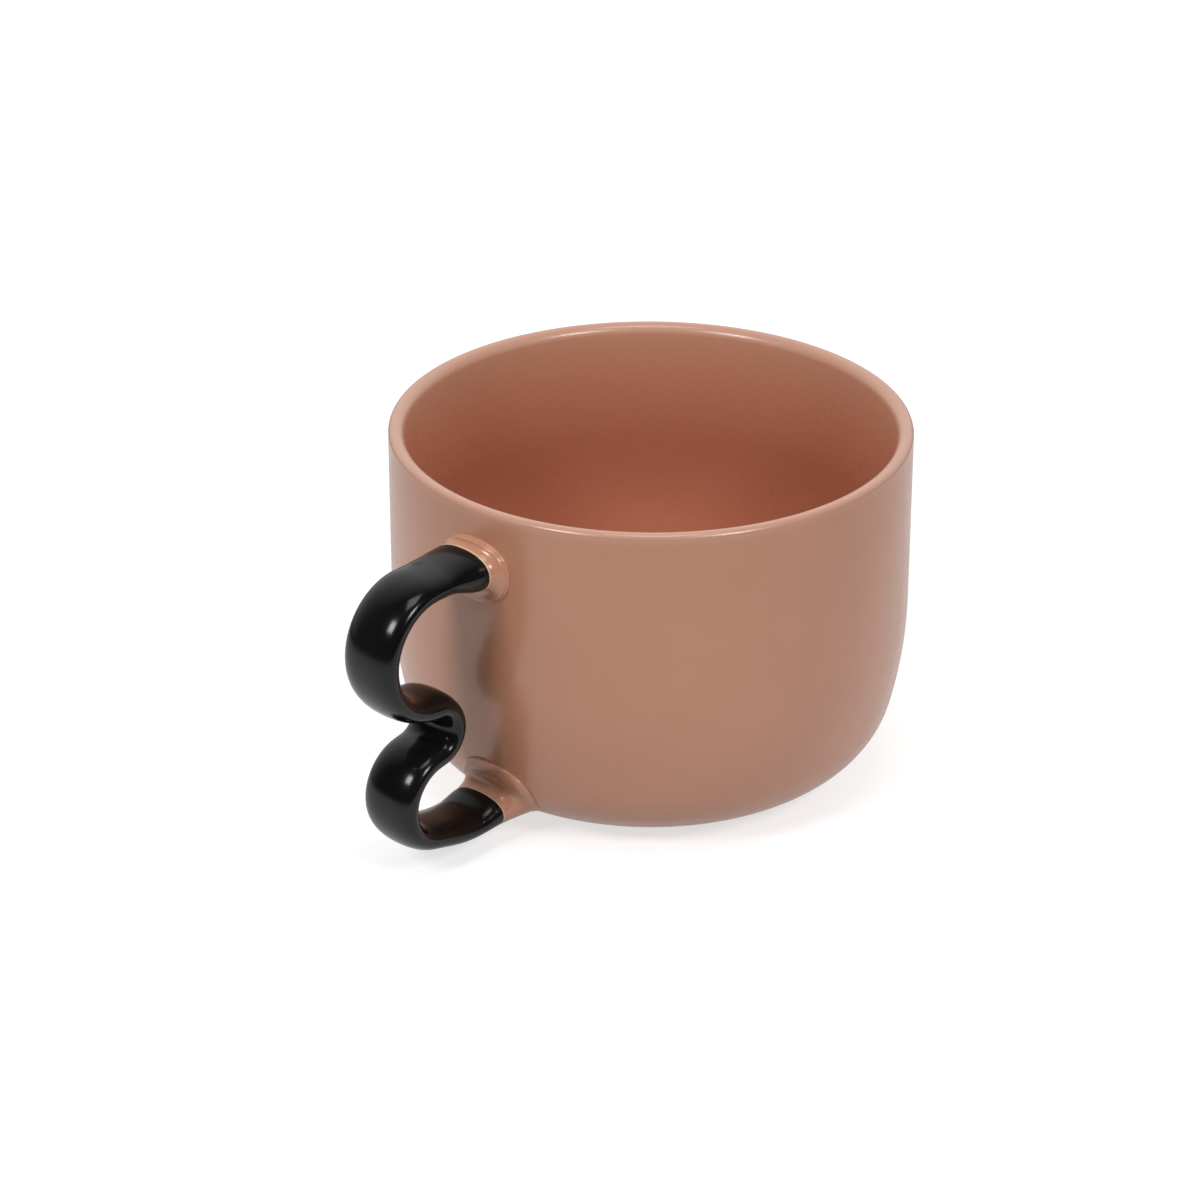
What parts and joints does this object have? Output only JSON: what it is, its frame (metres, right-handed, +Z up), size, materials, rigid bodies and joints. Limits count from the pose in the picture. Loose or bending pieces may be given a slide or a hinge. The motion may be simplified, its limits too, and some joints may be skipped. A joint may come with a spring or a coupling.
{
  "type": "cappuccino cup",
  "caption": "Straight-sided stoneware cappuccino cup with a rounded base, a bare foot ring and a wavy strap handle joined to the wall by flared roots.",
  "frame": {"origin": "on the cup's axis, in the plane that the foot ring stands on", "axes": "+Z up the axis towards the rim, +X from the axis towards the handle"},
  "size_m": [0.1337, 0.104, 0.0725],
  "materials": {
    "pink_glaze": "semi-matt terracotta pink glaze",
    "black_glaze": "gloss black glaze",
    "bare_clay": "unglazed, rubbed smooth"
  },
  "bodies": {
    "root": {"cup_body": "pink_glaze", "foot_ring": "bare_clay", "handle_strap": "black_glaze", "upper_handle_root": "pink_glaze", "lower_handle_root": "pink_glaze", "upper_slip_seam": "pink_glaze", "lower_slip_seam": "pink_glaze"}
  },
  "joints": []
}
